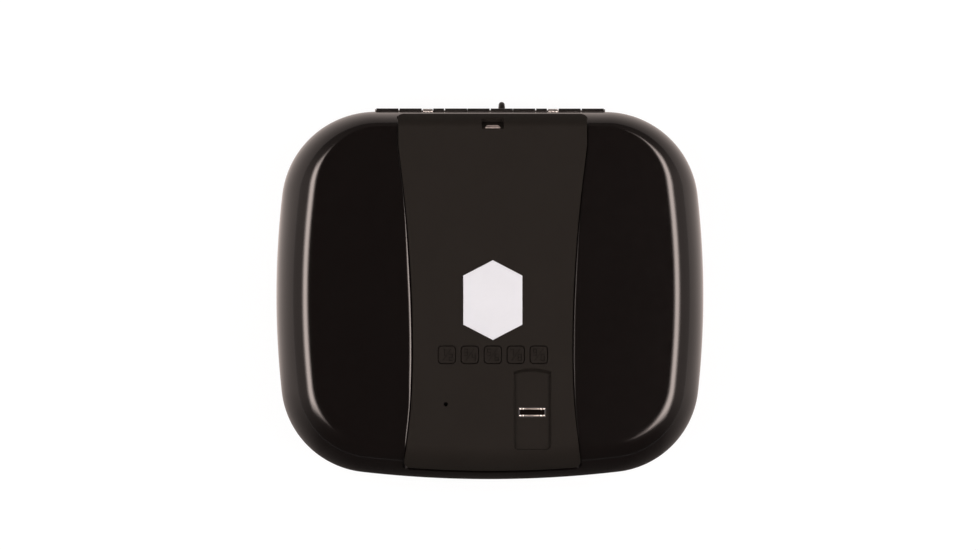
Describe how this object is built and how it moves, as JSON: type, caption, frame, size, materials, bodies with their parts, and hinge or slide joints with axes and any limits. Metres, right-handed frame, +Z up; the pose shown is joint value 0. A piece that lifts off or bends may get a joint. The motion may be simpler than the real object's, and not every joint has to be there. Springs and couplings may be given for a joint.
{
  "type": "biometric lock box",
  "caption": "Rounded clamshell lock box with a rear piano hinge, raised console with keypad and fingerprint channel, motor latch and foam lining.",
  "frame": {"origin": "middle of the box that holds the case and its tether loop, on the floor under the rubber feet", "axes": "+Z up; the front with the finger channel faces -Y and the hinge is at +Y; X is the direction of the hinge pin"},
  "size_m": [0.2666, 0.2358, 0.07],
  "materials": {
    "case_plastic": "moulded, satin gloss",
    "console_soft_touch": "soft-touch coating, matt",
    "badge_white": "white, smooth",
    "foam": "open-cell foam",
    "foot_rubber": "matt",
    "zinc_steel": "zinc plated",
    "bright_steel": "nickel plated",
    "black_steel": "black oxide",
    "spring_steel": "drawn wire, bright",
    "sensor_black": "polished",
    "sensor_chrome": "polished",
    "key_silicone": "matt",
    "board_laminate": "solder mask",
    "black_plastic": "fine spark texture",
    "gear_brass": "satin",
    "gear_nylon": "natural nylon",
    "cell_wrap": "printed wrap",
    "ribbon_amber": "polyimide film",
    "lead_red": "insulation",
    "lead_black": "insulation"
  },
  "bodies": {
    "base": {"base_shell": "case_plastic", "base_foam": "foam", "foot_front_left": "foot_rubber", "foot_front_right": "foot_rubber", "foot_rear_left": "foot_rubber", "foot_rear_right": "foot_rubber", "striker_bracket": "zinc_steel", "striker_screws": "black_steel", "tether_loop": "black_steel", "tether_nuts": "zinc_steel", "hinge_base_leaf": "black_steel", "hinge_pin": "bright_steel", "hinge_base_rivets": "black_steel", "lift_spring_left": "spring_steel", "lift_spring_right": "spring_steel"},
    "lid": {"lid_shell": "case_plastic", "console": "console_soft_touch", "badge": "badge_white", "fingerprint_sensor": "sensor_black", "sensor_bezel": "sensor_chrome", "usb_port": "bright_steel", "keypad_mat": "key_silicone", "control_board": "board_laminate", "buzzer": "black_plastic", "inner_cover": "black_plastic", "lid_foam_left": "foam", "lid_foam_right": "foam", "hinge_lid_leaf": "black_steel", "hinge_lid_rivets": "black_steel", "latch_frame": "zinc_steel", "latch_gearbox": "gear_brass", "latch_motor": "bright_steel", "latch_switch": "black_plastic", "battery_holder": "black_plastic", "battery_1": "cell_wrap", "battery_2": "cell_wrap", "battery_3": "cell_wrap", "battery_4": "cell_wrap", "battery_contacts": "bright_steel", "sensor_ribbon": "ribbon_amber", "battery_leads": "lead_red", "motor_leads": "lead_black", "cover_screws": "black_steel", "frame_screws": "zinc_steel", "board_screws": "zinc_steel", "console_screws": "zinc_steel"},
    "key_1": {"key_1": "key_silicone"},
    "key_2": {"key_2": "key_silicone"},
    "key_3": {"key_3": "key_silicone"},
    "key_4": {"key_4": "key_silicone"},
    "key_5": {"key_5": "key_silicone"},
    "latch_bar": {"latch_bar": "zinc_steel"},
    "latch_pinion": {"latch_pinion": "gear_nylon"},
    "battery_door": {"battery_door": "black_plastic"}
  },
  "joints": [
    {"name": "lid_hinge", "type": "hinge", "parent": "base", "child": "lid", "pos_m": [0, 0.1115, 0.034], "axis": [-1, 0, 0], "range_deg": [0, 95], "deforming": ["lift_spring_left", "lift_spring_right"]},
    {"name": "press_key_1", "type": "slide", "parent": "lid", "child": "key_1", "axis": [0, 0, -1], "range_m": [0, 0.0008], "stiffness_N_per_m": 900, "springref_m": -0.0001},
    {"name": "press_key_2", "type": "slide", "parent": "lid", "child": "key_2", "axis": [0, 0, -1], "range_m": [0, 0.0008], "stiffness_N_per_m": 900, "springref_m": -0.0001},
    {"name": "press_key_3", "type": "slide", "parent": "lid", "child": "key_3", "axis": [0, 0, -1], "range_m": [0, 0.0008], "stiffness_N_per_m": 900, "springref_m": -0.0001},
    {"name": "press_key_4", "type": "slide", "parent": "lid", "child": "key_4", "axis": [0, 0, -1], "range_m": [0, 0.0008], "stiffness_N_per_m": 900, "springref_m": -0.0001},
    {"name": "press_key_5", "type": "slide", "parent": "lid", "child": "key_5", "axis": [0, 0, -1], "range_m": [0, 0.0008], "stiffness_N_per_m": 900, "springref_m": -0.0001},
    {"name": "latch_throw", "type": "slide", "parent": "lid", "child": "latch_bar", "axis": [1, 0, 0], "range_m": [0, 0.0065]},
    {"name": "pinion_spin", "type": "hinge", "parent": "lid", "child": "latch_pinion", "pos_m": [0, -0.09725, 0.0492], "axis": [0, -1, 0], "range_deg": [0, 67]},
    {"name": "battery_door_slide", "type": "slide", "parent": "lid", "child": "battery_door", "axis": [0, 1, 0], "range_m": [0, 0.012]}
  ],
  "couplings": [
    {"joint": "pinion_spin", "follows": "latch_throw", "rad_per_m": 178.57}
  ]
}
